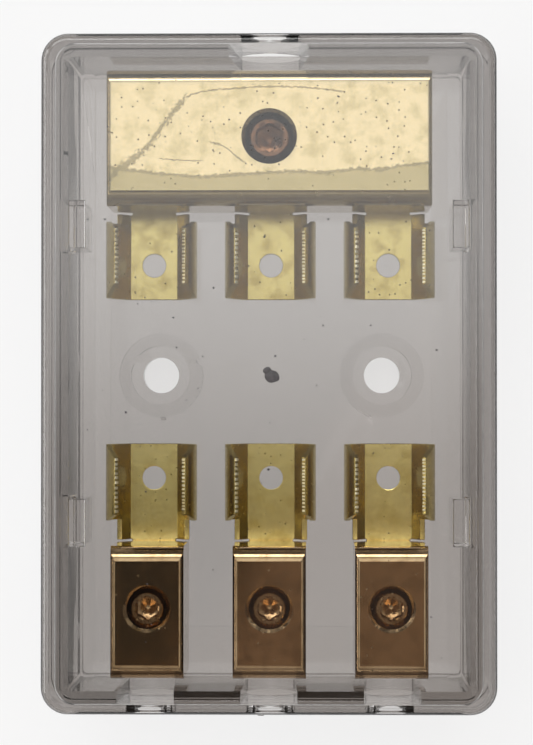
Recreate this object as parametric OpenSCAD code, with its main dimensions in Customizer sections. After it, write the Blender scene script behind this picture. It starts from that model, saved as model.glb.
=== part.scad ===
// Distribution block for three cartridge fuses: one supply wire in, three fused wires out.
// X runs across the fuses, Y along them towards the input end, and Z up.
// The origin is the centre of the mounting face, under the middle of the base.

/* [Fuses] */
// Diameter of a fuse over its end caps
fuse_d = 10.3; // [9.8:0.1:10.8]
// Length of a fuse from end to end
fuse_l = 38.1; // [34:0.1:42]
// Distance from one fuse to the next
fuse_pitch = 15; // [14.5:0.1:18]
// How far the fuses stand off centre, towards the input end
fuse_shift = 0.45; // [0:0.05:0.8]

/* [Fuse clips] */
// Thickness of the sheet that the clips are stamped from
clip_t = 0.6; // [0.4:0.05:0.8]
// Width of the flat between a clip's two arms
clip_flat_w = 6; // [5:0.1:6.6]
// Width of the mouth between the tips of the arms
clip_mouth = 7.9; // [7:0.1:9]
// Length of the arms along the fuse
clip_arm_l = 9.6; // [8:0.1:11]
// How far a fuse's end stands past the arms
fuse_past_arm = 0.25; // [0:0.05:0.5]
// Length of the slope on the arms' tips at the inner end
tip_slope_in = 1.7; // [0.5:0.1:2.5]
// Length of the slope on the arms' tips at the outer end
tip_slope_out = 0.9; // [0.3:0.1:2]
// Height of the slopes on the arms' tips
tip_slope_h = 2.4; // [1:0.1:3.5]
// Radius of the hole in the flat of a clip
clip_hole_r = 1.5; // [1:0.1:1.8]
// Distance of that hole from the arms' inner end
clip_hole_in = 4.4; // [3:0.1:6]
// Height of the low flanges on the neck, above the flat
neck_h = 1.7; // [1:0.1:2.5]
// Width of the tail that lies under a block
tail_w = 5.6; // [4.6:0.1:6]
// Length of the tail that lies under a block
tail_l = 10.5; // [6:0.1:12]

/* [Terminal blocks] */
// Height of the bar that the blocks are cut from
block_h = 14.5; // [14:0.1:18]
// Radius along the long edges of the bar
block_edge_r = 1.8; // [0.5:0.1:2.4]
// Radius along the sawn edges, where the blocks are cut from the bar and polished
block_side_r = 0.6; // [0.2:0.1:1]
// Height of the wire bores above the underside of a block
wire_axis_h = 4.2; // [3.9:0.1:4.6]
// Bevel at the mouth of a wire bore
bore_bevel = 0.4; // [0.1:0.1:0.6]
// Bevel at the mouth of a set-screw hole
screw_mouth_bevel = 0.42; // [0.1:0.02:0.6]

/* [Input block] */
// How far the block reaches past the centre line of the outer fuses
input_block_past = 5; // [4.5:0.1:5.5]
// Length of the block along the fuses
input_block_l = 16.75; // [15.5:0.05:20]
// Distance from the fuses' nominal end to the block's inner face
input_block_gap = 1.65; // [1:0.05:3]
// Radius of the wire bore
input_bore_r = 3.25; // [2.8:0.05:3.4]
// Depth of the wire bore
input_bore_l = 11.6; // [11.4:0.1:12.2]
// Distance of the set screw from the block's outer face
input_screw_in = 8.3; // [6:0.1:8.4]

/* [Output blocks] */
// Width of each block
output_block_w = 9; // [8:0.1:10]
// Length of each block along the fuse
output_block_l = 16.3; // [15.5:0.05:20]
// Distance from the fuses' nominal end to a block's inner face
output_block_gap = 2.1; // [1:0.05:3]
// Radius of a wire bore
output_bore_r = 2.5; // [2:0.05:2.8]
// Depth of a wire bore
output_bore_l = 11.5; // [11.3:0.1:11.8]
// Distance of the set screw from a block's outer face
output_screw_in = 8.65; // [6:0.05:8.7]

/* [Set screws] */
// Thread radius of the input set screw
input_screw_r = 3; // [2.5:0.05:3.05]
// Length of the input set screw
input_screw_l = 5; // [4:0.1:6]
// Width across the flats of the input set screw's socket
input_socket_w = 3; // [2:0.1:3.4]
// Thread radius of an output set screw
output_screw_r = 2.5; // [2:0.05:2.55]
// Length of an output set screw
output_screw_l = 6; // [4:0.1:6.4]
// Width across the flats of an output set screw's socket
output_socket_w = 2.5; // [1.8:0.1:2.8]
// Height of the input screw's point above the wire bore, as it rests
input_tip_gap = 0.05; // [0.05:0.05:0.6]
// Height of an output screw's point above the wire bore, as it rests
output_tip_gap = 1; // [0.05:0.05:1.2]
// Depth of the sockets
socket_depth = 2.4; // [1.5:0.1:3]
// Bevel round the two ends of a set screw
screw_bevel = 0.35; // [0.1:0.05:0.6]
// Running clearance between a set screw and its hole
thread_clear = 0.05; // [0.02:0.01:0.1]

/* [Fixing screws] */
// Thread radius
fixing_r = 1.5; // [1.2:0.05:1.6]
// Length under the head
fixing_l = 6; // [5:0.1:6.5]
// Radius of the head
fixing_head_r = 2.8; // [2.4:0.1:3]
// Height of the head
fixing_head_h = 1.7; // [1.2:0.1:1.75]
// Distance of the screw from the inner face of its block
fixing_in = 2.6; // [2:0.05:2.8]

/* [Base] */
// Height of the rim that the base stands on
rim_h = 2; // [1.8:0.1:3]
// Thickness of the floor between the blocks and the rim
floor_t = 3.1; // [2.8:0.1:4]
// Height of the flange that carries the cover
flange_h = 3; // [2:0.1:4]
// Thickness of the upright wall
wall_t = 1.5; // [1.2:0.1:2.2]
// Radius of the wall's inner corners
wall_inner_r = 0.6; // [0.2:0.1:1.2]
// Width of the step along the inner edge of the wall's top
wall_step_w = 0.9; // [0.3:0.05:1]
// Depth of that step
wall_step_d = 0.8; // [0.4:0.1:1.5]
// Room from the outer fuses' centre line to the side walls
side_room = 9.4; // [9.2:0.1:12]
// Room between the blocks and the end walls
end_room = 1.1; // [0.4:0.1:4]
// Width of the ledge along each side wall
ledge_w = 1.9; // [1:0.1:2.4]
// Height of that ledge above the floor
ledge_h = 1.1; // [0.4:0.1:2]
// How much narrower the ledge is at its two ends
ledge_end_step = 0.3; // [0.1:0.05:0.6]
// Length of those narrow ends
ledge_end_l = 2.1; // [1:0.1:4]
// How far the shallow clip recess reaches past the outer fuses' centre line
recess_past = 5.6; // [5.2:0.1:6.2]
// Room round a wire where it passes the walls
wire_room = 0.5; // [0.3:0.05:0.55]
// How much wider the input notch is at the wall's top, to each side
input_flare = 1.2; // [0:0.1:2]
// How much wider an output notch is at the wall's top, to each side
output_flare = 0.5; // [0:0.1:1.5]

/* [Mounting holes] */
// Distance from hole to hole
mount_pitch = 28.5; // [24:0.1:30]
// Radius of the holes
mount_hole_r = 2.3; // [1.6:0.1:2.6]
// Radius of the pocket for the screw's head
mount_head_r = 3.8; // [3.2:0.1:4.4]
// Depth of the pocket for the screw's head
mount_head_depth = 2.2; // [1:0.1:2.4]
// Wall of the boss round the pocket
mount_boss_t = 1.6; // [1:0.1:2.4]

/* [Cover] */
// Room from the blocks to the underside of the cover
head_room = 3.4; // [2.4:0.1:6]
// Thickness of the top
cover_t = 2; // [1.4:0.1:3]
// Thickness of the skirt along the two sides
skirt_side_t = 1.6; // [1:0.1:2.4]
// Thickness of the skirt at the two ends
skirt_end_t = 1.1; // [1:0.1:2.4]
// Radius of the upright corners
corner_r = 3.3; // [2.8:0.1:4.5]
// Radius of the skirt's corners inside
skirt_inner_r = 2.6; // [1.5:0.1:2.6]
// Radius along the top edge
top_edge_r = 1.2; // [0.5:0.1:1.4]
// Gap between the skirt and the base wall
skirt_gap = 0.1; // [0.05:0.05:0.3]
// Gap between the base wall and the underside of the cover
lid_gap = 0.2; // [0.1:0.05:0.5]

/* [Snap legs] */
// Distance of a leg's middle from the middle of the case
leg_y = 18.1; // [12:0.1:24]
// Width of a leg
leg_w = 5.6; // [4:0.1:8]
// Thickness of a leg
leg_t = 1.8; // [1.2:0.1:2]
// Length of a leg below the top
leg_l = 11; // [8:0.1:14]
// Gap between a leg and the wall
leg_gap = 0.2; // [0.1:0.05:0.4]
// How far the hook stands out from the leg
hook_out = 0.7; // [0.4:0.05:0.8]
// Height of the hook
hook_h = 1.8; // [1:0.1:3]
// Clearance round the hook in its groove
hook_gap = 0.3; // [0.2:0.05:0.4]

/* [Gate mark] */
// Radius of the dimple in the middle of the floor
gate_dimple_r = 2.4; // [1.5:0.1:3]
// Depth of that dimple
gate_dimple_d = 0.35; // [0.1:0.05:0.6]
// Radius of the gate stub in the dimple
gate_stub_r = 1.1; // [0.5:0.1:1.4]

/* [Hidden] */
$fn = 48;

// Overlap of two shapes that are joined, and reach of a cut past its face
eps = 0.5;

// The three fuse columns
left = -fuse_pitch;
middle = 0;
right = fuse_pitch;
columns = [left, middle, right];

// The two ends: 1 is the input end and -1 the output end
input_end = 1;
output_end = -1;

// Heights
floor_z = rim_h + floor_t;
recess_z = floor_z - clip_t;
block_top_z = floor_z + block_h;
wire_z = floor_z + wire_axis_h;
cover_under_z = block_top_z + head_room;
wall_top_z = cover_under_z - lid_gap;
case_h = cover_under_z + cover_t;

// Places along the fuses, measured outwards from the middle
input_face = fuse_l / 2 + input_block_gap;
output_face = fuse_l / 2 + output_block_gap;
input_out = input_face + input_block_l;
output_out = output_face + output_block_l;
arm_out = fuse_l / 2 - fuse_past_arm;
arm_in = arm_out - clip_arm_l;
neck_gap = 0.15;
recess_gap = 0.5;

// Plan sizes
inner_size = [2 * (fuse_pitch + side_room), 2 * (max(input_out, output_out) + end_room)];
wall_size = inner_size + 2 * [wall_t, wall_t];
skirt_inner_size = wall_size + 2 * [skirt_gap, skirt_gap];
case_size = skirt_inner_size + 2 * [skirt_side_t, skirt_end_t];
input_block_w = 2 * (fuse_pitch + input_block_past);

// Fuse seat in a clip
seat_r = fuse_d / 2;
seat_z = floor_z + seat_r;
flat_half_angle = atan(clip_flat_w / 2 / seat_r);
tip_angle = acos(clip_mouth / 2 / seat_r);
arm_top_z = seat_z + (seat_r + clip_t) * sin(tip_angle);

// Fixing screws
fixing_hole_gap = 0.2;
fixing_tip_room = 0.4;
head_edge_r = 0.6;
cross_w = 0.7;
cross_l = 2.9;
cross_depth = 0.9;

// Socket point and cup of a set screw
drill_slope = 0.45;
drill_land = 0.15;
cup_depth = 0.5;
cup_rim = 0.7;

// Colours
clear_plastic = [0.78, 0.78, 0.79, 0.4];
gold_brass = "#d6b860";
dark_gold = "#a8873f";
plated_steel = "#b9b7ae";

// Outline at distance r from the fuse's axis: round above, with a flat below and a straight
// riser on each side that runs into the round
module seat_outline(r) {
    riser = 2 * flat_half_angle - 90;
    corner = [r * tan(flat_half_angle), -r];
    circle(r);
    polygon([[0, 0], r * [cos(riser), sin(riser)], corner, [-corner[0], corner[1]],
        r * [-cos(riser), sin(riser)]]);
}

// Section of a clip's sheet: the band between two such outlines, open at the mouth
module clip_section() {
    mouth = 2 * fuse_d * [cos(tip_angle), sin(tip_angle)];
    difference() {
        seat_outline(seat_r + clip_t);
        seat_outline(seat_r);
        polygon([[0, 0], mouth, [-mouth[0], mouth[1]]]);
    }
}

// Rectangle with true round corners, centred on the origin
module rounded_rect(size, r) {
    square([size[0] - 2 * r, size[1]], center = true);
    square([size[0], size[1] - 2 * r], center = true);
    for (x = [-1, 1], y = [-1, 1])
        translate([x * (size[0] / 2 - r), y * (size[1] / 2 - r)]) circle(r);
}

// Box with round upright corners and a rounded top edge, standing on z = 0
module rounded_case(size, h, r, edge) {
    linear_extrude(h - edge) rounded_rect(size, r);
    linear_extrude(h) rounded_rect(size - 2 * [edge, edge], r - edge);
    for (s = [-1, 1]) {
        translate([s * (size[0] / 2 - edge), 0, h - edge]) rotate([90, 0, 0])
            cylinder(r = edge, h = size[1] - 2 * r, center = true);
        translate([0, s * (size[1] / 2 - edge), h - edge]) rotate([0, 90, 0])
            cylinder(r = edge, h = size[0] - 2 * r, center = true);
    }
    for (x = [-1, 1], y = [-1, 1])
        translate([x * (size[0] / 2 - r), y * (size[1] / 2 - r), 0]) rotate_extrude() {
            square([r - edge, h]);
            square([r, h - edge]);
            translate([r - edge, h - edge]) circle(edge);
        }
}

// Section of a wire notch in a base wall: round below, flared towards the top
module notch_section(r, flare) {
    translate([0, wire_z]) circle(r);
    polygon([[-r, wire_z], [r, wire_z], [r + flare, wall_top_z + eps], [-r - flare, wall_top_z + eps]]);
}

// Section of a wire arch in the skirt: round above, open at the bottom
module arch_section(r) {
    translate([0, wire_z]) circle(r);
    translate([-r, 0]) square([2 * r, wire_z]);
}

// Sets a section upright and runs it through the end wall on one side
module through_end(side) {
    from = inner_size[1] / 2 - eps;
    to = case_size[1] / 2 + eps;
    translate([0, side > 0 ? to : -from, 0]) rotate([90, 0, 0]) linear_extrude(to - from) children();
}

module base() {
    color(clear_plastic) difference() {
        union() {
            linear_extrude(flange_h) rounded_rect(case_size, corner_r);
            linear_extrude(wall_top_z) rounded_rect(wall_size, skirt_inner_r - skirt_gap);
        }
        // room inside the wall, between the two ledges
        translate([0, 0, floor_z + ledge_h]) linear_extrude(wall_top_z)
            rounded_rect(inner_size, wall_inner_r);
        translate([0, 0, floor_z]) linear_extrude(wall_top_z)
            rounded_rect(inner_size - 2 * [ledge_w, 0], wall_inner_r);
        for (s = [-1, 1]) translate([0, s * (inner_size[1] - ledge_end_l) / 2, floor_z])
            linear_extrude(wall_top_z)
                rounded_rect([inner_size[0] - 2 * (ledge_w - ledge_end_step), ledge_end_l], wall_inner_r);
        // step along the inner edge of the wall's top
        translate([0, 0, wall_top_z - wall_step_d]) linear_extrude(wall_step_d + eps)
            rounded_rect(inner_size + 2 * [wall_step_w, wall_step_w], wall_inner_r + wall_step_w);
        // shallow recess that the clips lie in
        translate([-fuse_pitch - recess_past, -output_face - tail_l - recess_gap, recess_z])
            cube([2 * (fuse_pitch + recess_past),
                input_face + output_face + 2 * (tail_l + recess_gap), floor_t]);
        // hollow under the floor, inside the rim
        difference() {
            translate([0, 0, -eps]) linear_extrude(rim_h + eps) rounded_rect(inner_size, wall_inner_r);
            for (s = [-1, 1]) translate([s * mount_pitch / 2, 0, -2 * eps])
                cylinder(r = mount_head_r + mount_boss_t, h = rim_h + 3 * eps);
        }
        for (s = [-1, 1]) translate([s * mount_pitch / 2, 0, 0]) {
            translate([0, 0, -eps]) cylinder(r = mount_hole_r, h = floor_z + 2 * eps);
            translate([0, 0, recess_z - mount_head_depth]) cylinder(r = mount_head_r, h = floor_t);
        }
        for (x = columns, y = [input_face + fixing_in, -output_face - fixing_in])
            translate([x, y, 0]) cylinder(r = fixing_r + fixing_hole_gap, h = floor_z + eps);
        through_end(input_end) notch_section(input_bore_r + wire_room, input_flare);
        for (x = columns) translate([x, 0, 0]) through_end(output_end)
            notch_section(output_bore_r + wire_room, output_flare);
        // grooves that the cover's hooks run in
        for (x = [-1, 1], y = [-1, 1]) translate([x * inner_size[0] / 2, y * leg_y, 0])
            translate([-hook_out - hook_gap + leg_gap, -leg_w / 2 - hook_gap,
                cover_under_z - leg_l - hook_gap])
                cube([2 * (hook_out + hook_gap - leg_gap), leg_w + 2 * hook_gap, wall_top_z]);
        // dimple of the gate, with its stub
        translate([0, 0, recess_z - gate_dimple_d]) difference() {
            cylinder(r = gate_dimple_r, h = floor_t);
            translate([0, 0, -eps]) cylinder(r = gate_stub_r, h = gate_dimple_d + eps);
        }
    }
}

// Snap leg with its hook, on the +X side, its middle on the X axis
module snap_leg() {
    outer = inner_size[0] / 2 - leg_gap;
    bottom = cover_under_z - leg_l;
    translate([outer - leg_t, -leg_w / 2, bottom]) cube([leg_t, leg_w, leg_l + eps]);
    translate([outer, leg_w / 2, bottom]) rotate([90, 0, 0]) linear_extrude(leg_w)
        polygon([[-eps, 0], [0, 0], [hook_out, hook_h * 2 / 3], [hook_out, hook_h], [-eps, hook_h]]);
}

module cover() {
    color(clear_plastic) {
        difference() {
            translate([0, 0, flange_h]) rounded_case(case_size, case_h - flange_h, corner_r, top_edge_r);
            linear_extrude(cover_under_z) rounded_rect(skirt_inner_size, skirt_inner_r);
            through_end(input_end) arch_section(input_bore_r + wire_room);
            for (x = columns) translate([x, 0, 0]) through_end(output_end)
                arch_section(output_bore_r + wire_room);
        }
        for (y = [-leg_y, leg_y]) translate([0, y, 0]) {
            snap_leg();
            mirror([1, 0, 0]) snap_leg();
        }
    }
}

// Block cut from the bar, built at the input end with its inner face at distance face
module terminal_block(w, l, face, bore_r, bore_l, screw_in, screw_r, fixings) {
    out = face + l;
    difference() {
        // the bar's own section, then the sawn and polished ends
        translate([0, face + l / 2, floor_z + block_h / 2]) intersection() {
            translate([-w / 2, 0, 0]) rotate([90, 0, 90])
                linear_extrude(w) rounded_rect([l, block_h], block_edge_r);
            translate([0, l / 2, 0]) rotate([90, 0, 0])
                linear_extrude(l) rounded_rect([w, block_h], block_side_r);
        }
        // wire bore with its bevelled mouth
        translate([0, out - bore_l, wire_z]) rotate([-90, 0, 0]) cylinder(r = bore_r, h = bore_l + eps);
        translate([0, out - bore_bevel, wire_z]) rotate([-90, 0, 0])
            cylinder(r1 = bore_r, r2 = bore_r + 2 * bore_bevel, h = 2 * bore_bevel);
        // set-screw hole from the top down into the wire bore
        translate([0, out - screw_in, wire_z]) cylinder(r = screw_r, h = block_h);
        translate([0, out - screw_in, block_top_z - screw_mouth_bevel])
            cylinder(r1 = screw_r, r2 = screw_r + 2 * screw_mouth_bevel, h = 2 * screw_mouth_bevel);
        // blind holes for the fixing screws
        for (x = fixings) translate([x, face + fixing_in, floor_z - eps])
            cylinder(r = fixing_r, h = rim_h + fixing_l + fixing_tip_room - floor_z + eps);
    }
}

module input_block() {
    color(gold_brass) terminal_block(input_block_w, input_block_l, input_face, input_bore_r,
        input_bore_l, input_screw_in, input_screw_r, columns);
}

module output_block(x) {
    color(dark_gold) translate([x, 0, 0]) mirror([0, 1, 0]) terminal_block(output_block_w,
        output_block_l, output_face, output_bore_r, output_bore_l, output_screw_in, output_screw_r, [0]);
}

// Set screw with a hexagon socket and a cup point, its point at z = 0
module set_screw(r, l, socket_w) {
    screw_r = r - thread_clear;
    drill_r = socket_w / 2 - drill_land;
    difference() {
        rotate_extrude() polygon([[0, cup_depth], [screw_r - cup_rim, 0], [screw_r - screw_bevel, 0],
            [screw_r, screw_bevel], [screw_r, l - screw_bevel], [screw_r - screw_bevel, l], [0, l]]);
        translate([0, 0, l - socket_depth]) rotate([0, 0, 30])
            cylinder(d = socket_w / cos(30), h = socket_depth + eps, $fn = 6);
        translate([0, 0, l - socket_depth]) rotate_extrude()
            polygon([[0, -drill_slope * drill_r], [drill_r, 0], [drill_r, eps], [0, eps]]);
    }
}

module input_set_screw() {
    color(dark_gold) translate([0, input_out - input_screw_in, wire_z + input_bore_r + input_tip_gap])
        set_screw(input_screw_r, input_screw_l, input_socket_w);
}

module output_set_screw(x) {
    color(gold_brass)
        translate([x, output_screw_in - output_out, wire_z + output_bore_r + output_tip_gap])
        set_screw(output_screw_r, output_screw_l, output_socket_w);
}

// Stamped clip in the middle column at the input end: arms, neck and tail in one sheet.
// shift moves the arms outwards, and face is where the block's inner face stands.
module fuse_clip(face, shift) {
    from = arm_in + shift;
    to = arm_out + shift;
    neck_end = face - neck_gap;
    neck_top = floor_z + neck_h;
    difference() {
        union() {
            intersection() {
                translate([0, neck_end, seat_z]) rotate([90, 0, 0]) linear_extrude(neck_end - from)
                    clip_section();
                translate([-fuse_d, 0, 0]) rotate([90, 0, 90]) linear_extrude(2 * fuse_d)
                    polygon([[from, 0], [from, arm_top_z - tip_slope_h],
                        [from + tip_slope_in, arm_top_z], [to - tip_slope_out, arm_top_z],
                        [to, arm_top_z - tip_slope_h], [to, neck_top], [neck_end, neck_top],
                        [neck_end, 0]]);
            }
            translate([-tail_w / 2, to, recess_z]) cube([tail_w, face + tail_l - to, clip_t]);
        }
        for (y = [from + clip_hole_in, face + fixing_in]) translate([0, y, 0])
            cylinder(r = y > to ? fixing_r + fixing_hole_gap : clip_hole_r, h = seat_z);
    }
}

module input_clip(x) {
    color(gold_brass) translate([x, 0, 0]) fuse_clip(input_face, fuse_shift);
}

module output_clip(x) {
    color(gold_brass) translate([x, 0, 0]) mirror([0, 1, 0]) fuse_clip(output_face, -fuse_shift);
}

// Pan-head screw with a cross recess, pointing up through the floor
module fixing_screw() {
    translate([0, 0, rim_h]) difference() {
        union() {
            translate([0, 0, -eps]) cylinder(r = fixing_r - thread_clear, h = fixing_l + eps);
            rotate_extrude() {
                translate([0, -fixing_head_h]) square([fixing_head_r - head_edge_r, fixing_head_h]);
                translate([0, head_edge_r - fixing_head_h])
                    square([fixing_head_r, fixing_head_h - head_edge_r]);
                translate([fixing_head_r - head_edge_r, head_edge_r - fixing_head_h])
                    circle(head_edge_r);
            }
        }
        for (a = [0, 90]) rotate([0, 0, a]) translate([-cross_l / 2, -cross_w / 2, -fixing_head_h - eps])
            cube([cross_l, cross_w, cross_depth + eps]);
    }
}

module input_fixing_screw(x) {
    color(plated_steel) translate([x, input_face + fixing_in, 0]) fixing_screw();
}

module output_fixing_screw(x) {
    color(plated_steel) translate([x, -output_face - fixing_in, 0]) fixing_screw();
}

base();
cover();
input_block();
output_block(left);  // output_block_left
output_block(middle);  // output_block_middle
output_block(right);  // output_block_right
input_set_screw();
output_set_screw(left);  // output_set_screw_left
output_set_screw(middle);  // output_set_screw_middle
output_set_screw(right);  // output_set_screw_right
input_clip(left);  // input_clip_left
input_clip(middle);  // input_clip_middle
input_clip(right);  // input_clip_right
output_clip(left);  // output_clip_left
output_clip(middle);  // output_clip_middle
output_clip(right);  // output_clip_right
input_fixing_screw(left);  // input_fixing_screw_left
input_fixing_screw(middle);  // input_fixing_screw_middle
input_fixing_screw(right);  // input_fixing_screw_right
output_fixing_screw(left);  // output_fixing_screw_left
output_fixing_screw(middle);  // output_fixing_screw_middle
output_fixing_screw(right);  // output_fixing_screw_right
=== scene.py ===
import math
import random

import bmesh
import bpy
from mathutils import Matrix, Vector, noise


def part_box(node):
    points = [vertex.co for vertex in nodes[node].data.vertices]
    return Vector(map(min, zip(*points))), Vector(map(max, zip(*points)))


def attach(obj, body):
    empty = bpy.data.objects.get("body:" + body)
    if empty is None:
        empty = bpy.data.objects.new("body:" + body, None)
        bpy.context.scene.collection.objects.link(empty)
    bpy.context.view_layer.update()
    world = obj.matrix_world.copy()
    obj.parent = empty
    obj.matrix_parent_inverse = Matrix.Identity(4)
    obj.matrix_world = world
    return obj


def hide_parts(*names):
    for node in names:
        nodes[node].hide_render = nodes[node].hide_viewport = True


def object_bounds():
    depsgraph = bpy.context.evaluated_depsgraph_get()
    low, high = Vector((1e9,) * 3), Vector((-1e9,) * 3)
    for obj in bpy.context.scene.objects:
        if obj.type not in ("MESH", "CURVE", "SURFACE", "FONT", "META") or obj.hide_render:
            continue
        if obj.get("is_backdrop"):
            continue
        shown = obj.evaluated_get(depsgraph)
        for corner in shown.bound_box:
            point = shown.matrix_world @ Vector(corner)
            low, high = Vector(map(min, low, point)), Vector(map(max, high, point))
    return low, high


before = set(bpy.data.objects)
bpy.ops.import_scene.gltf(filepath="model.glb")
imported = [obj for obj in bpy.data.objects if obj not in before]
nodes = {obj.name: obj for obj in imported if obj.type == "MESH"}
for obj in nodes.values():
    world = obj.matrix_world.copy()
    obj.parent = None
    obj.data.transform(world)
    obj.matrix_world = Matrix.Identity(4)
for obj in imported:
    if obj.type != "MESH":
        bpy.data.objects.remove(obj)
cad_low, cad_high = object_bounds()
MM = 0.001

# Camera: it looks straight down on the cover from arm's length, a little off the middle.
# Its long lens lets the case fill the upright frame and keeps the walls nearly edge on.
camera_height = 300 * MM
camera_data = bpy.data.cameras.new("camera")
camera_data.sensor_width = 36
camera_data.lens = 120.3
camera = bpy.data.objects.new("camera", camera_data)
bpy.context.scene.collection.objects.link(camera)
camera.location = (5.2 * MM, -3.9 * MM, cad_high.z + camera_height)
lean = Vector((-0.24 * MM, 0.09 * MM, cad_high.z)) - camera.location
camera.rotation_euler = (math.atan2(lean.y, -lean.z), -math.atan2(lean.x, -lean.z), 0)
bpy.context.scene.camera = camera
bpy.context.scene.view_settings.view_transform = "Standard"


# Room: pale overhead light that falls off to dim walls, dimmer still on the side where someone stands. That
# person leans over the output end as a warm dark patch: dark hair on the left, a browner face and hand on
# the right. Polished plating mirrors all of it. Two windows give the bench its soft shadow.
def linear(hex_colour):
    """An sRGB hex colour as linear RGBA."""
    channels = [int(hex_colour[i:i + 2], 16) / 255 for i in (1, 3, 5)]
    return [c / 12.92 if c <= 0.04045 else ((c + 0.055) / 1.055) ** 2.4 for c in channels] + [1.0]


def add_node(tree, kind, settings=None, inputs=None):
    """A shader node with its settings; each input takes a plain value or the socket that feeds it."""
    node = tree.nodes.new(kind)
    for name, value in (settings or {}).items():
        setattr(node, name, value)
    for name, value in (inputs or {}).items():
        if isinstance(value, bpy.types.NodeSocket):
            tree.links.new(value, node.inputs[name])
        else:
            node.inputs[name].default_value = value
    return node


world = bpy.data.worlds.new("room")
bpy.context.scene.world = world
world.use_nodes = True
tree = world.node_tree
tree.nodes.clear()
direction = add_node(tree, "ShaderNodeTexCoord").outputs["Generated"]
axes = add_node(tree, "ShaderNodeSeparateXYZ", {}, {0: direction}).outputs
along = add_node(tree, "ShaderNodeMath", {"operation": "DIVIDE"}, {0: axes["Y"], 1: axes["Z"]}).outputs[0]
across = add_node(tree, "ShaderNodeMath", {"operation": "DIVIDE"}, {0: axes["X"], 1: axes["Z"]}).outputs[0]
overhead = add_node(tree, "ShaderNodeMapRange", {"interpolation_type": "SMOOTHSTEP"},
    {"Value": axes["Z"], "From Min": 0.90, "From Max": 0.985}).outputs["Result"]
near_body = add_node(tree, "ShaderNodeMapRange", {"interpolation_type": "SMOOTHSTEP"},
    {"Value": axes["Y"], "From Min": -0.2, "From Max": -0.6}).outputs["Result"]
behind = add_node(tree, "ShaderNodeMapRange", {"interpolation_type": "SMOOTHSTEP"},
    {"Value": along, "From Min": 0.075, "From Max": -0.055}).outputs["Result"]
shade = add_node(tree, "ShaderNodeMath", {"operation": "MULTIPLY"}, {0: overhead, 1: behind}).outputs[0]
slant = add_node(tree, "ShaderNodeMath", {"operation": "MULTIPLY_ADD"},
    {0: along, 1: -0.6, 2: across}).outputs[0]
sideways = add_node(tree, "ShaderNodeMapRange", {},
    {"Value": slant, "From Min": -0.05, "From Max": 0.06}).outputs["Result"]
ceiling = add_node(tree, "ShaderNodeValToRGB", {}, {"Fac": axes["Z"]})
ceiling_steps = [(0.0, "#605e5c"), (0.3, "#646261"), (0.55, "#7b7a78"), (0.8, "#bdbbba"), (0.93, "#ffffff")]
leaning = add_node(tree, "ShaderNodeValToRGB", {}, {"Fac": sideways})
leaning_steps = [(0.0, "#35322f"), (0.5, "#433b33"), (0.68, "#7d6a5c"), (1.0, "#806e60")]
for ramp, steps in ((ceiling, ceiling_steps), (leaning, leaning_steps)):
    elements = ramp.color_ramp.elements
    while len(elements) < len(steps):
        elements.new(0.5)
    for element, (position, colour) in zip(elements, steps):
        element.position = position
        element.color = linear(colour)
walls = add_node(tree, "ShaderNodeMix", {"data_type": "RGBA"},
    {0: near_body, 6: ceiling.outputs["Color"], 7: linear("#857b74")}).outputs[2]
seen = add_node(tree, "ShaderNodeMix", {"data_type": "RGBA"},
    {0: shade, 6: walls, 7: leaning.outputs["Color"]}).outputs[2]
clear = add_node(tree, "ShaderNodeMath", {"operation": "SUBTRACT"}, {0: overhead, 1: shade}).outputs[0]
glow = add_node(tree, "ShaderNodeMath", {"operation": "MULTIPLY_ADD"},
    {0: clear, 1: 0.38, 2: 1.0}).outputs[0]
sky = add_node(tree, "ShaderNodeBackground", {}, {"Color": seen, "Strength": glow})
add_node(tree, "ShaderNodeOutputWorld", {}, {"Surface": sky.outputs[0]})

for name, place, size, power in (
        ("window", (-0.1, 0.75, 0.8), (1.1, 0.35), 5),
        ("side_window", (-0.9, 0.1, 0.3), (0.9, 0.4), 3.5)):
    data = bpy.data.lights.new(name, "AREA")
    data.shape = "RECTANGLE"
    data.size, data.size_y = size
    data.energy = power
    lamp = bpy.data.objects.new(name, data)
    bpy.context.scene.collection.objects.link(lamp)
    lamp.location = place
    lamp.rotation_euler = (-Vector(place)).to_track_quat("-Z", "Y").to_euler()
    lamp.visible_camera = False

# Bench: a sheet of white paper that stays white behind the clear case and in the plating.
# A part of it is lit like real paper, so that it takes a soft shadow from the block.
bench_gap = 0.05 * MM
bench_mesh = bpy.data.meshes.new("bench")
bm = bmesh.new()
bmesh.ops.create_grid(bm, x_segments=1, y_segments=1, size=1.5)
bmesh.ops.translate(bm, verts=bm.verts, vec=(0, 0, cad_low.z - bench_gap))
bm.to_mesh(bench_mesh)
bm.free()
bench = bpy.data.objects.new("bench", bench_mesh)
bpy.context.scene.collection.objects.link(bench)
bench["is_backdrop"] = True
bench_paper = bpy.data.materials.new("white_paper")
bench_paper.use_nodes = True
tree = bench_paper.node_tree
tree.nodes.clear()
path = add_node(tree, "ShaderNodeLightPath").outputs
looked_at = add_node(tree, "ShaderNodeMath", {"operation": "ADD"},
    {0: path["Is Camera Ray"], 1: path["Is Glossy Ray"]}).outputs[0]
looked_through = add_node(tree, "ShaderNodeMath", {"operation": "ADD", "use_clamp": True},
    {0: looked_at, 1: path["Is Transmission Ray"]}).outputs[0]
share = add_node(tree, "ShaderNodeMath", {"operation": "MULTIPLY"}, {0: looked_through, 1: 0.8}).outputs[0]
paper = add_node(tree, "ShaderNodeBsdfDiffuse", {}, {"Color": linear("#f2f2f2")}).outputs[0]
white = add_node(tree, "ShaderNodeEmission", {}, {"Color": linear("#ffffff"), "Strength": 1.0}).outputs[0]
mixed = add_node(tree, "ShaderNodeMixShader", {}, {0: share, 1: paper, 2: white})
add_node(tree, "ShaderNodeOutputMaterial", {}, {"Surface": mixed.outputs[0]})
bench_mesh.materials.append(bench_paper)


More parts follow.
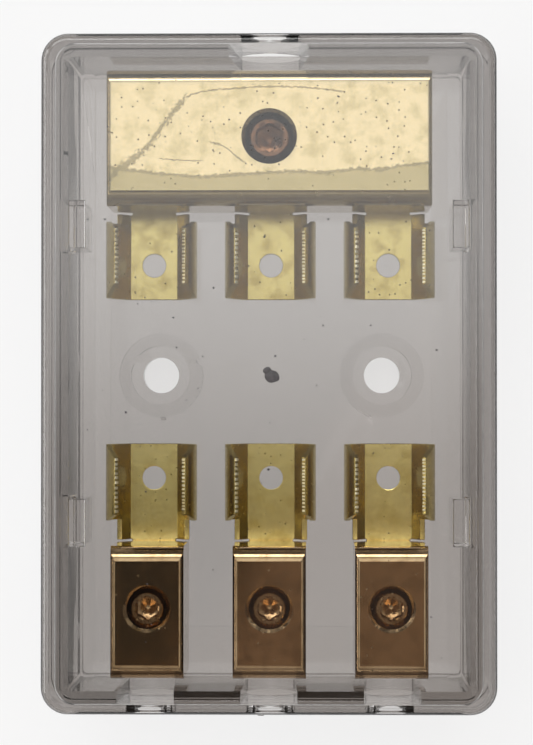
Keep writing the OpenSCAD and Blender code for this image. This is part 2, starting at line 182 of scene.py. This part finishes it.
# Base: the tray that everything is screwed to, injection moulded in clear polystyrene that has a faint
# smoke tint. It stands on a rim, and its wall is a light guide, so the wall looks darker than the floor.
def clear_polystyrene(name, tint, depth_tint, per_metre):
    """Clear moulded polystyrene: a high gloss, and a grey cast that deepens with the way light has gone."""
    material = bpy.data.materials.new(name)
    material.use_nodes = True
    tree = material.node_tree
    tree.nodes.clear()
    path = add_node(tree, "ShaderNodeLightPath").outputs
    plastic = add_node(tree, "ShaderNodeBsdfPrincipled", {},
        {"Base Color": linear(tint), "Roughness": 0.02, "IOR": 1.58, "Transmission Weight": 1.0}).outputs[0]
    passing = add_node(tree, "ShaderNodeBsdfTransparent", {}, {"Color": linear(tint)}).outputs[0]
    mixed = add_node(tree, "ShaderNodeMixShader", {}, {0: path["Is Shadow Ray"], 1: plastic, 2: passing})
    depth = add_node(tree, "ShaderNodeVolumeAbsorption", {},
        {"Color": linear(depth_tint), "Density": per_metre})
    add_node(tree, "ShaderNodeOutputMaterial", {}, {"Surface": mixed.outputs[0], "Volume": depth.outputs[0]})
    return material


def merged(node):
    """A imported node's mesh with its loose triangles joined and its flat faces whole."""
    bm = bmesh.new()
    bm.from_mesh(nodes[node].data)
    bmesh.ops.remove_doubles(bm, verts=bm.verts, dist=0.002 * MM)
    bmesh.ops.dissolve_limit(bm, angle_limit=math.radians(0.5), verts=bm.verts, edges=bm.edges)
    return bm


def soften(bm, width, chosen):
    """Rounds the sharp edges that chosen() picks."""
    edges = [e for e in bm.edges if e.calc_face_angle(0) > math.radians(28) and chosen(e)]
    bmesh.ops.bevel(bm, geom=edges, offset=width, segments=2, profile=0.5, affect="EDGES", material=-1,
        clamp_overlap=True)


def piece(name, bm, material, body, smooth_below=30):
    """Makes a finished object of a bmesh, smooth but for edges sharper than an angle, riding on a body."""
    mesh = bpy.data.meshes.new(name)
    bm.to_mesh(mesh)
    bm.free()
    mesh.shade_smooth()
    mesh.set_sharp_from_angle(angle=math.radians(smooth_below))
    mesh.materials.append(material)
    thing = bpy.data.objects.new(name, mesh)
    bpy.context.scene.collection.objects.link(thing)
    thing.modifiers.new("weighted_normals", "WEIGHTED_NORMAL").keep_sharp = True
    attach(thing, body)
    return thing


floor_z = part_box("input_block")[0].z
flange_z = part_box("cover")[0].z
wall_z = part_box("base")[1].z
level = 0.001 * MM
# Air between the tray and what stands on it, as clear faces that share one plane would come out black
air = 0.03 * MM
base_plastic = clear_polystyrene("smoke_clear_polystyrene", "#cdc9c6", "#c9c6c4", 95)
bm = merged("base")
soften(bm, 0.2 * MM, lambda e: min(v.co.z for v in e.verts) > wall_z - 0.01 * MM)
for vert in bm.verts:
    if abs(vert.co.z - floor_z) < level or abs(vert.co.z - flange_z) < level:
        vert.co.z -= air
base_tray = piece("base_tray", bm, base_plastic, "base")
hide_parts("base")

# Cover: a snap-over lid of the same plastic with less smoke in it, and with four legs that catch in the
# base wall. Its moulded edges are slightly round, so they catch the light as thin bright and dark lines.
cover_plastic = clear_polystyrene("clear_polystyrene", "#f1f0ef", "#cdcac9", 35)
bm = merged("cover")
soften(bm, 0.15 * MM, lambda e: True)
cover_lid = piece("cover_lid", bm, cover_plastic, "cover")
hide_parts("cover")


# Gate mark: the tray is filled through one point in the middle of the floor, and a scorched stub is
# left there. The lid was filled from its output end and keeps a snapped-off nub.
def scorched_polystyrene():
    """Burnt plastic at the gate: near black with a plum cast, and matt where it broke."""
    material = bpy.data.materials.new("scorched_polystyrene")
    material.use_nodes = True
    tree = material.node_tree
    shader = tree.nodes["Principled BSDF"]
    place = add_node(tree, "ShaderNodeTexCoord").outputs["Object"]
    cloud = add_node(tree, "ShaderNodeTexNoise", {}, {"Vector": place, "Scale": 1100.0, "Detail": 3.0})
    burn = add_node(tree, "ShaderNodeValToRGB", {}, {"Fac": cloud.outputs["Fac"]})
    for element, (position, colour) in zip(burn.color_ramp.elements, ((0.35, "#2f2a30"), (0.7, "#5b535a"))):
        element.position = position
        element.color = linear(colour)
    tree.links.new(burn.outputs["Color"], shader.inputs["Base Color"])
    shader.inputs["Roughness"].default_value = 0.45
    return material


noise.seed_set(5)
dimple_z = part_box("input_clip_middle")[0].z + 0.02 * MM
# Three overlapping blobs: the place and the size of each, in mm
blobs = (((0.1, -0.15), (0.95, 0.8)), ((-0.5, 0.6), (0.55, 0.5)), ((0.55, -0.25), (0.5, 0.55)))
bm = bmesh.new()
for (x, y), size in blobs:
    made = bmesh.ops.create_icosphere(bm, subdivisions=3, radius=1 * MM)["verts"]
    bmesh.ops.scale(bm, verts=made, vec=(*size, 0.22))
    bmesh.ops.translate(bm, verts=made, vec=(x * MM, y * MM, dimple_z))
for vert in bm.verts:
    vert.co += noise.noise_vector(vert.co * 1600) * 0.09 * MM
gate_stub = piece("gate_stub", bm, scorched_polystyrene(), "base", 60)

nub_place = (-1.0 * MM, cad_low.y + 0.05 * MM, cad_high.z - 2.4 * MM)
bm = bmesh.new()
made = bmesh.ops.create_icosphere(bm, subdivisions=2, radius=0.4 * MM)["verts"]
bmesh.ops.scale(bm, verts=made, vec=(1.3, 0.9, 1.0))
bmesh.ops.translate(bm, verts=made, vec=nub_place)
for vert in bm.verts:
    vert.co += noise.noise_vector(vert.co * 2500) * 0.08 * MM
lid_nub = piece("lid_nub", bm, cover_plastic, "cover", 60)

# Dust: dark flat grains that got in under the lid and onto the floor, a tenth of a millimetre or so
# across. They lie at random, some stuck to the underside of the lid and the rest loose on the tray.
grit = scorched_polystyrene()
lid_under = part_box("cover")[1].z - 2.03 * MM
half_x, half_y = 22 * MM, 36 * MM
random.seed(5)
for name, height, count, body in (("lid_dust", lid_under, 46, "cover"), ("floor_dust", floor_z, 34, "base")):
    bm = bmesh.new()
    for grain in range(count):
        size = random.uniform(0.05, 0.13) * MM
        made = bmesh.ops.create_icosphere(bm, subdivisions=1, radius=size)["verts"]
        bmesh.ops.scale(bm, verts=made, vec=(random.uniform(0.7, 1.5), random.uniform(0.7, 1.5), 0.4))
        spot = (random.uniform(-half_x, half_x), random.uniform(-half_y, half_y), height)
        bmesh.ops.translate(bm, verts=made, vec=spot)
    dust = piece(name, bm, grit, body, 60)


# Terminal blocks: lengths of machined brass bar with drilled wire bores and tapped screw holes. They are
# polished and flash plated with gold, so they mirror the room; handling has left pits and smears.
def plated_brass(name, tint, dull, gloss, peel, pit_share):
    """Gold-plated brass: clean and dull tints, roughness, surface waviness in mm, share of pitted cells.
    Returns the material, its tree, the colour so far and the coordinates in mm."""
    material = bpy.data.materials.new(name)
    material.use_nodes = True
    tree = material.node_tree
    shader = tree.nodes["Principled BSDF"]
    shader.inputs["Metallic"].default_value = 1.0
    place = add_node(tree, "ShaderNodeTexCoord").outputs["Object"]
    mm = add_node(tree, "ShaderNodeMapping", {}, {"Vector": place, "Scale": (1000, 1000, 1000)}).outputs[0]
    # Clouds of haze, a few millimetres across, where fingers have dulled the plating
    cloud = add_node(tree, "ShaderNodeTexNoise", {},
        {"Vector": mm, "Scale": 0.45, "Detail": 4.0, "Roughness": 0.6}).outputs["Fac"]
    haze = add_node(tree, "ShaderNodeMapRange", {"interpolation_type": "SMOOTHSTEP"},
        {"Value": cloud, "From Min": 0.42, "From Max": 0.72}).outputs["Result"]
    hazed = add_node(tree, "ShaderNodeMix", {"data_type": "RGBA"},
        {0: haze, 6: linear(tint), 7: linear(dull)}).outputs[2]
    # Pits a fifth of a millimetre across, one in the middle of some cells; real ones are finer
    cells = add_node(tree, "ShaderNodeTexVoronoi", {}, {"Vector": mm, "Scale": 1.5}).outputs
    inside = add_node(tree, "ShaderNodeMapRange", {"interpolation_type": "SMOOTHSTEP"},
        {"Value": cells["Distance"], "From Min": 0.2, "From Max": 0.12}).outputs["Result"]
    lot = add_node(tree, "ShaderNodeSeparateColor", {}, {0: cells["Color"]}).outputs[0]
    drawn = add_node(tree, "ShaderNodeMath", {"operation": "GREATER_THAN"},
        {0: lot, 1: 1 - pit_share}).outputs[0]
    pits = add_node(tree, "ShaderNodeMath", {"operation": "MULTIPLY"}, {0: inside, 1: drawn}).outputs[0]
    dirt = add_node(tree, "ShaderNodeMath", {"operation": "MULTIPLY"}, {0: pits, 1: 0.8}).outputs[0]
    colour = add_node(tree, "ShaderNodeMix", {"data_type": "RGBA"},
        {0: dirt, 6: hazed, 7: linear("#5d4c33")}).outputs[2]
    tree.links.new(colour, shader.inputs["Base Color"])
    shine = add_node(tree, "ShaderNodeMath", {"operation": "MULTIPLY_ADD"},
        {0: haze, 1: 0.06, 2: gloss}).outputs[0]
    rough = add_node(tree, "ShaderNodeMath", {"operation": "MULTIPLY_ADD"},
        {0: pits, 1: 0.3, 2: shine}).outputs[0]
    tree.links.new(rough, shader.inputs["Roughness"])
    wave = add_node(tree, "ShaderNodeTexNoise", {},
        {"Vector": mm, "Scale": 0.8, "Detail": 2.0}).outputs["Fac"]
    height = add_node(tree, "ShaderNodeMath", {"operation": "SUBTRACT"}, {0: wave, 1: pits}).outputs[0]
    bump = add_node(tree, "ShaderNodeBump", {}, {"Height": height, "Strength": 1.0, "Distance": peel * MM})
    tree.links.new(bump.outputs[0], shader.inputs["Normal"])
    return material, tree, colour, mm


def mark(tree, mm, points, start, end, width):
    """How strongly a mark on the input block shows, 1 on a wavering line through points (x, y in mm) and 0
    past its width, and how far in mm a place lies past that line."""
    reach = 20
    axes = add_node(tree, "ShaderNodeSeparateXYZ", {}, {0: mm}).outputs
    x = add_node(tree, "ShaderNodeMapRange", {},
        {"Value": axes["X"], "From Min": -reach, "From Max": reach}).outputs["Result"]
    line = add_node(tree, "ShaderNodeFloatCurve", {}, {"Value": x})
    curve = line.mapping.curves[0]
    spots = [((px + reach) / (2 * reach), (py - reach) / reach) for px, py in points]
    curve.points[0].location = spots[0]
    curve.points[1].location = spots[-1]
    for spot in spots[1:-1]:
        curve.points.new(*spot)
    line.mapping.update()
    line_y = add_node(tree, "ShaderNodeMapRange", {},
        {"Value": line.outputs[0], "To Min": reach, "To Max": 2 * reach}).outputs["Result"]
    waver = add_node(tree, "ShaderNodeTexNoise", {},
        {"Vector": mm, "Scale": 2.2, "Detail": 4.0}).outputs["Fac"]
    shift = add_node(tree, "ShaderNodeMath", {"operation": "MULTIPLY_ADD"},
        {0: waver, 1: 3.2 * width, 2: -1.6 * width}).outputs[0]
    past = add_node(tree, "ShaderNodeMath", {"operation": "SUBTRACT"}, {0: axes["Y"], 1: line_y}).outputs[0]
    past = add_node(tree, "ShaderNodeMath", {"operation": "ADD"}, {0: past, 1: shift}).outputs[0]
    off = add_node(tree, "ShaderNodeMath", {"operation": "ABSOLUTE"}, {0: past}).outputs[0]
    shows = add_node(tree, "ShaderNodeMapRange", {"interpolation_type": "SMOOTHSTEP"},
        {"Value": off, "From Min": width, "From Max": width * 0.3}).outputs["Result"]
    for faded, full in ((start - 0.4, start + 0.4), (end + 0.4, end - 0.4)):
        within = add_node(tree, "ShaderNodeMapRange", {"interpolation_type": "SMOOTHSTEP"},
            {"Value": axes["X"], "From Min": faded, "From Max": full}).outputs["Result"]
        shows = add_node(tree, "ShaderNodeMath", {"operation": "MULTIPLY"}, {0: shows, 1: within}).outputs[0]
    return shows, past


def paint_side_shade(tree, colour, tone, share, bright_end):
    """Paints shade into the plating's colour: darker where a face turns away from straight up; with
    bright_end, faces towards +Y keep the clean colour.
    """
    normal = add_node(tree, "ShaderNodeTexCoord").outputs["Normal"]
    facing = add_node(tree, "ShaderNodeSeparateXYZ", {}, {0: normal}).outputs
    aside = add_node(tree, "ShaderNodeMapRange", {"interpolation_type": "SMOOTHSTEP"},
        {"Value": facing["Z"], "From Min": 0.94, "From Max": 0.8}).outputs["Result"]
    side_shade_share = add_node(tree, "ShaderNodeMath", {"operation": "MULTIPLY"}, {0: aside, 1: share}).outputs[0]
    if bright_end:
        not_inner = add_node(tree, "ShaderNodeMapRange", {"interpolation_type": "SMOOTHSTEP"},
            {"Value": facing["Y"], "From Min": 0.5, "From Max": 0.15}).outputs["Result"]
        side_shade_share = add_node(tree, "ShaderNodeMath", {"operation": "MULTIPLY"},
            {0: side_shade_share, 1: not_inner}).outputs[0]
    # Painted shade: the tone is mixed in by the way a face turns, standing in for dark reflections
    side_shade = add_node(tree, "ShaderNodeMix", {"data_type": "RGBA"}, {0: side_shade_share, 6: colour, 7: linear(tone)})
    tree.links.new(side_shade.outputs[2], tree.nodes["Principled BSDF"].inputs["Base Color"])


def dress(node, material):
    """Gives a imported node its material."""
    mesh = nodes[node].data
    mesh.materials.clear()
    mesh.materials.append(material)


# Pale flash gold over a polished bar: a bright mirror with a soft haze and dark specks
input_gold, tree, colour, mm = plated_brass("gold_plated_bar", "#f4e2b4", "#dccb99", 0.06, 0.005, 0.38)
# A wavy dark line along the edge of a painted dark reflection; below it the plating's colour is darkened as
# painted reflection
dark_reflection_edge = [(-20, 25.4), (-16.1, 24.9), (-12, 24.4), (-8.2, 24.2), (-3, 24.5), (2.5, 24.8), (7.3, 24.7),
    (10.7, 25.1), (13.5, 25.0), (16.3, 25.5), (20, 25.8)]
marks, past_reflection_edge = mark(tree, mm, dark_reflection_edge, -21, 21, 0.3)
# A greasy smear, a lint thread, a scratch and a hair: points, first and last x, and half width, in mm
smear = [(-20, 23.4), (-18.6, 25.0), (-17.3, 25.9), (-15.2, 27.6), (-13.4, 30.0), (-12.4, 31.3),
    (-10.4, 33.7)]
thread = [(-10.6, 33.6), (-9, 34.4), (-4, 35.0), (2, 35.2), (9, 34.6)]
scratch = [(-13.5, 26.4), (-11, 26.2), (-8.4, 26.1)]
hair = [(-7.2, 28.4), (-5.4, 27.8), (-4.2, 26.8), (-3.0, 25.9)]
for points, start, end, width in ((smear, -20, -10.2, 0.75), (thread, -10.3, 9, 0.16),
        (scratch, -13.4, -8.3, 0.12), (hair, -7.2, -3.0, 0.16)):
    stroke, _ = mark(tree, mm, points, start, end, width)
    marks = add_node(tree, "ShaderNodeMath", {"operation": "MAXIMUM"}, {0: marks, 1: stroke}).outputs[0]
painted_dark_reflection = add_node(tree, "ShaderNodeMapRange", {"interpolation_type": "SMOOTHSTEP"},
    {"Value": past_reflection_edge, "From Min": 0.05, "From Max": -0.25}).outputs["Result"]
# Painted reflection towards #b5a97b below the wavy line, then the marks towards #8b8160
for layer, strength, tone in ((painted_dark_reflection, 0.8, "#b5a97b"), (marks, 0.75, "#8b8160")):
    share = add_node(tree, "ShaderNodeMath", {"operation": "MULTIPLY"}, {0: layer, 1: strength}).outputs[0]
    colour = add_node(tree, "ShaderNodeMix", {"data_type": "RGBA"},
        {0: share, 6: colour, 7: linear(tone)}).outputs[2]
# Painted shade: the input block's sides and rounded edges are darkened towards #8f7d58
paint_side_shade(tree, colour, "#8f7d58", 0.75, False)
dress("input_block", input_gold)

# Redder, darker gold on the small blocks: a clean mirror, with painted shade that turns it brown on its
# sides and rounded edges, but for the bright +Y edge
columns = ("left", "middle", "right")
output_gold, tree, colour, _ = plated_brass("gold_plated_bar_end", "#dcc096", "#b99a70", 0.05, 0.003, 0.15)
# Painted shade towards #7d6449 on faces that turn away from straight up
paint_side_shade(tree, colour, "#7d6449", 0.85, True)
for column in columns:
    dress(f"output_block_{column}", output_gold)


# Set screws: steel grub screws with a hexagon socket, turned down on the bared wire ends. The input one
# is bronzed and the three output ones are gold plated.
def grub_screw(name, node, material, crest, pitch, socket_width, body):
    """A threaded screw with a hexagon socket and a cup point, in the place of a packed one."""
    low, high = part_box(node)
    middle, length = (low + high) / 2, high.z - low.z
    core = crest - 0.55 * pitch
    socket = socket_width / 2
    # From the cup point up the outside to the rim, then down the socket to its drilled bottom
    profile = [(0, 0.4 * MM), (crest * 0.45, 0.4 * MM), (crest * 0.72, 0), (core, 0.15 * MM),
        (core, length - 0.22 * MM), (core - 0.05 * MM, length - 0.05 * MM), (core - 0.12 * MM, length),
        (socket * 1.2, length), (socket * 1.04, length - 0.12 * MM), (socket, length - 0.3 * MM),
        (socket, length - 2.3 * MM), (socket * 0.62, length - 2.5 * MM), (socket * 0.3, length - 2.75 * MM),
        (0, length - 2.85 * MM)]
    bm = bmesh.new()
    verts = [bm.verts.new((x, 0, z)) for x, z in profile]
    edges = [bm.edges.new(pair) for pair in zip(verts, verts[1:])]
    bmesh.ops.spin(bm, geom=verts + edges, cent=(0, 0, 0), axis=(0, 0, 1), angle=math.tau, steps=72,
        use_merge=True)
    bmesh.ops.remove_doubles(bm, verts=bm.verts, dist=0.001 * MM)
    # The round socket is pushed out to a hexagon
    for vert in bm.verts:
        out = Vector((vert.co.x, vert.co.y)).length
        if vert.co.z > length - 2.4 * MM and socket * 0.9 < out < socket * 1.1:
            turn = (math.degrees(math.atan2(vert.co.y, vert.co.x)) + 30) % 60 - 30
            vert.co.xy *= min(1 / math.cos(math.radians(turn)), core / out - 0.02)
    # The thread: one tooth wound up the shank
    shank = length - 0.5 * MM
    root = core - 0.02 * MM
    tooth = [bm.verts.new((x, 0, z + 0.35 * MM)) for x, z in
        ((root, 0), (crest, pitch * 0.38), (crest, pitch * 0.5), (root, pitch * 0.88))]
    faces = [bm.faces.new(tooth)]
    turns = (shank - pitch) / pitch
    steps = round(48 * turns)
    bmesh.ops.spin(bm, geom=tooth + list(faces[0].edges) + faces, cent=(0, 0, 0), axis=(0, 0, 1),
        dvec=(0, 0, (shank - pitch) / steps), angle=math.tau * turns, steps=steps)
    bmesh.ops.recalc_face_normals(bm, faces=bm.faces)
    bmesh.ops.translate(bm, verts=bm.verts, vec=(middle.x, middle.y, low.z))
    screw = piece(name, bm, material, body)
    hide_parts(node)
    return screw


# Bronzed steel: brown and half matt, with pits that show as dark specks
bronzed_steel, _, _, _ = plated_brass("bronzed_steel", "#8e684b", "#665043", 0.22, 0.006, 0.5)
screw = grub_screw("input_grub_screw", "input_set_screw", bronzed_steel, 2.93 * MM, 1.0 * MM, 3.0 * MM,
    "input_set_screw")
# Gold-plated steel: a satin, brownish gold that glints on the rim and in the socket
gilt_steel, _, _, _ = plated_brass("gold_plated_steel", "#b79871", "#8d693f", 0.16, 0.006, 0.5)
for column in columns:
    node = f"output_set_screw_{column}"
    screw = grub_screw(f"output_grub_screw_{column}", node, gilt_steel, 2.43 * MM, 0.8 * MM, 2.5 * MM, node)


# Fuse clips: stamped from spring brass sheet, folded to a U with sprung arms, and plated after stamping.
# The punch has left a torn, toothed edge along the tips of the arms.
# Gold-plated sheet: yellow and satin on the flats, and brown on the bent arms as painted shade where they
# turn away from straight up
clip_gold, tree, colour, _ = plated_brass("gold_plated_sheet", "#f1e093", "#d6c170", 0.2, 0.008, 0.35)
# Painted shade towards #958041 on the arms and other turned faces
paint_side_shade(tree, colour, "#958041", 0.6, False)
# The torn edge: rough, with a near-white tint as a painted glint, so that it sparkles
painted_glint_edge, _, _, _ = plated_brass("torn_edge_painted_glint", "#fffae2", "#fff0c0", 0.38, 0.002, 0.0)
tip_rise = math.radians(39.9)
outer_r, tip_r = 5.75 * MM, 5.45 * MM
# Slope at the arms' inner end, and length of the straight tip
slope_l, tip_l = 1.75 * MM, 6.75
random.seed(11)
for end in ("input", "output"):
    for column in columns:
        node = f"{end}_clip_{column}"
        bm = merged(node)
        soften(bm, 0.09 * MM, lambda e: True)
        sheet = piece(f"{node}_sheet", bm, clip_gold, "base")
        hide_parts(node)
        low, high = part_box(node)
        middle_x = (low.x + high.x) / 2
        seat_z = high.z - outer_r * math.sin(tip_rise)
        first, step = (low.y + slope_l, 1) if end == "input" else (high.y - slope_l, -1)
        bm = bmesh.new()
        # Coarse teeth along the left arm and fine ones along the right: side, pitch and height in mm
        for side, pitch, rise in ((-1, 0.58, 0.3), (1, 0.42, 0.14)):
            run = 0.15
            while run < tip_l:
                made = bmesh.ops.create_cone(bm, cap_ends=True, segments=4, radius1=0.7071, radius2=0.38,
                    depth=1)
                long = pitch * random.uniform(0.55, 0.85)
                shape = Matrix.Diagonal((0.56, long, rise * random.uniform(0.6, 1.5), 1))
                turn = Matrix.Rotation(math.radians(45), 4, "Z")
                lean = Matrix.Rotation(-side * tip_rise, 4, "Y")
                place = Vector((middle_x + side * tip_r * math.cos(tip_rise), first + step * run * MM,
                    seat_z + tip_r * math.sin(tip_rise)))
                bmesh.ops.transform(bm, verts=made["verts"],
                    matrix=Matrix.Translation(place) @ lean @ Matrix.Scale(MM, 4) @ shape @ turn)
                run += pitch * random.uniform(0.85, 1.2)
        # The teeth wear the near-white painted glint
        burrs = piece(f"{node}_burrs", bm, painted_glint_edge, "base", 20)

# Fixing screws: zinc-plated steel pan heads, sunk under the floor, that pull blocks and clips together.
# Zinc gives them a cool grey, satin look; only their heads show, from below.
zinc, _, _, _ = plated_brass("zinc_plated_steel", "#c9c8c4", "#a5a49e", 0.28, 0.004, 0.2)
for end in ("input", "output"):
    for column in columns:
        dress(f"{end}_fixing_screw_{column}", zinc)

low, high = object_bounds()
